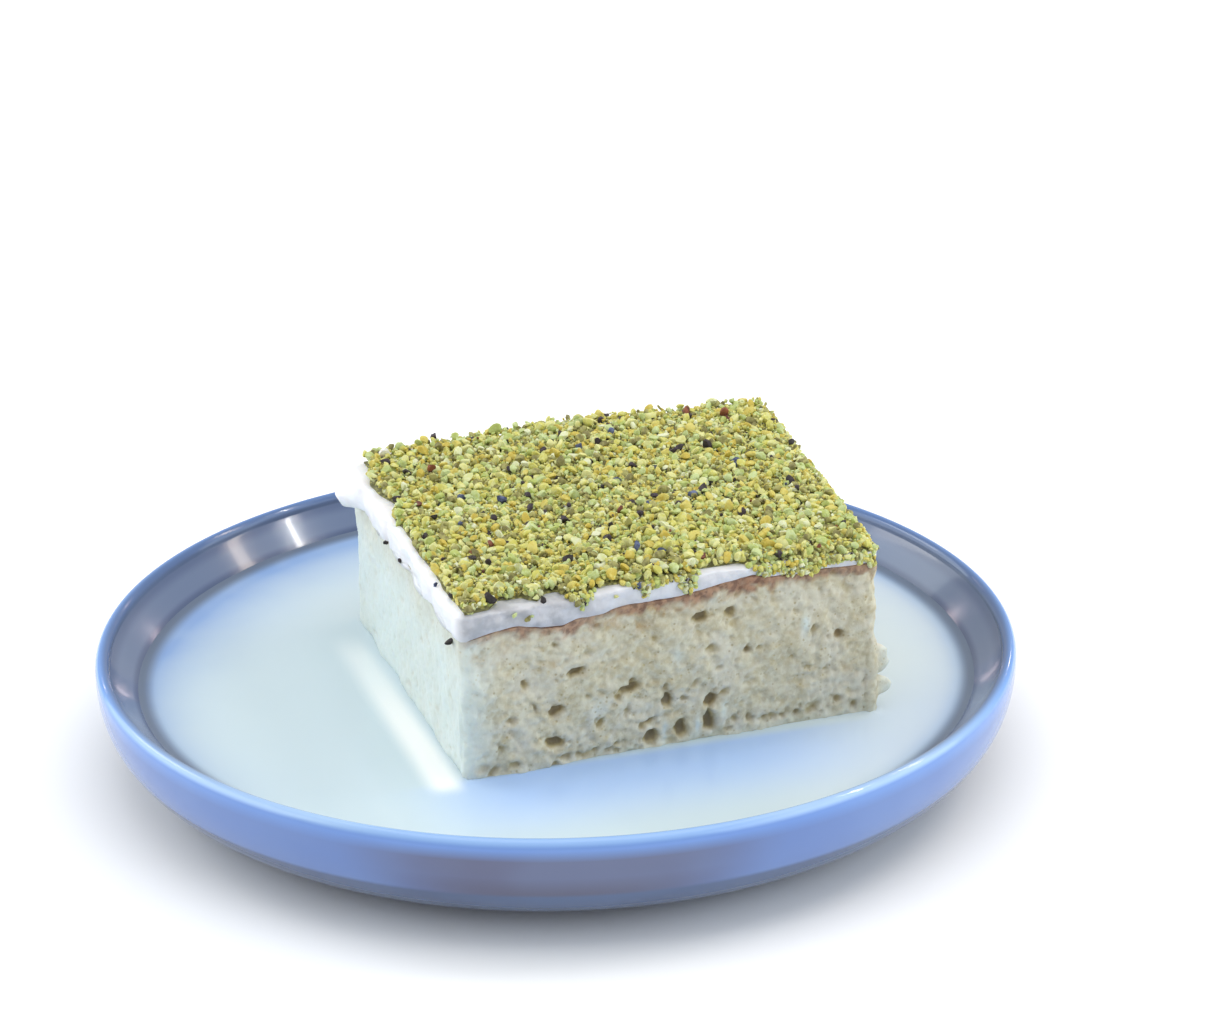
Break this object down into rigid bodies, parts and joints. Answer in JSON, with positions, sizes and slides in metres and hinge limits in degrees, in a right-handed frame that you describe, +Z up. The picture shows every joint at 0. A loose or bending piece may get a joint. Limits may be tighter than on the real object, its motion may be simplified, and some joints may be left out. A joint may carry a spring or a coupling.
{
  "type": "tres leches cake",
  "caption": "Square of soaked tres leches cake with whipped cream and crushed pistachio, standing in milk in a shallow round glazed dish.",
  "frame": {"origin": "centre of the dish's foot, on the table", "axes": "+Z up, -Y towards the side of the dish that the picture is taken from, +X to the right in the picture"},
  "size_m": [0.175, 0.175, 0.0533],
  "materials": {
    "glaze": "glossy blue-grey glaze, paler on the rim",
    "milk": "smooth wet milk",
    "crumb": "moist open crumb, soaked white in patches, ochre in the pores",
    "cream": "soft whipped cream",
    "pistachio": "coarsely crushed pistachio, yellow-green with dark flecks of skin"
  },
  "bodies": {
    "root": {"dish": "glaze", "milk": "milk", "sponge": "crumb", "whipped_cream": "cream", "pistachio_coat": "pistachio"}
  },
  "joints": []
}
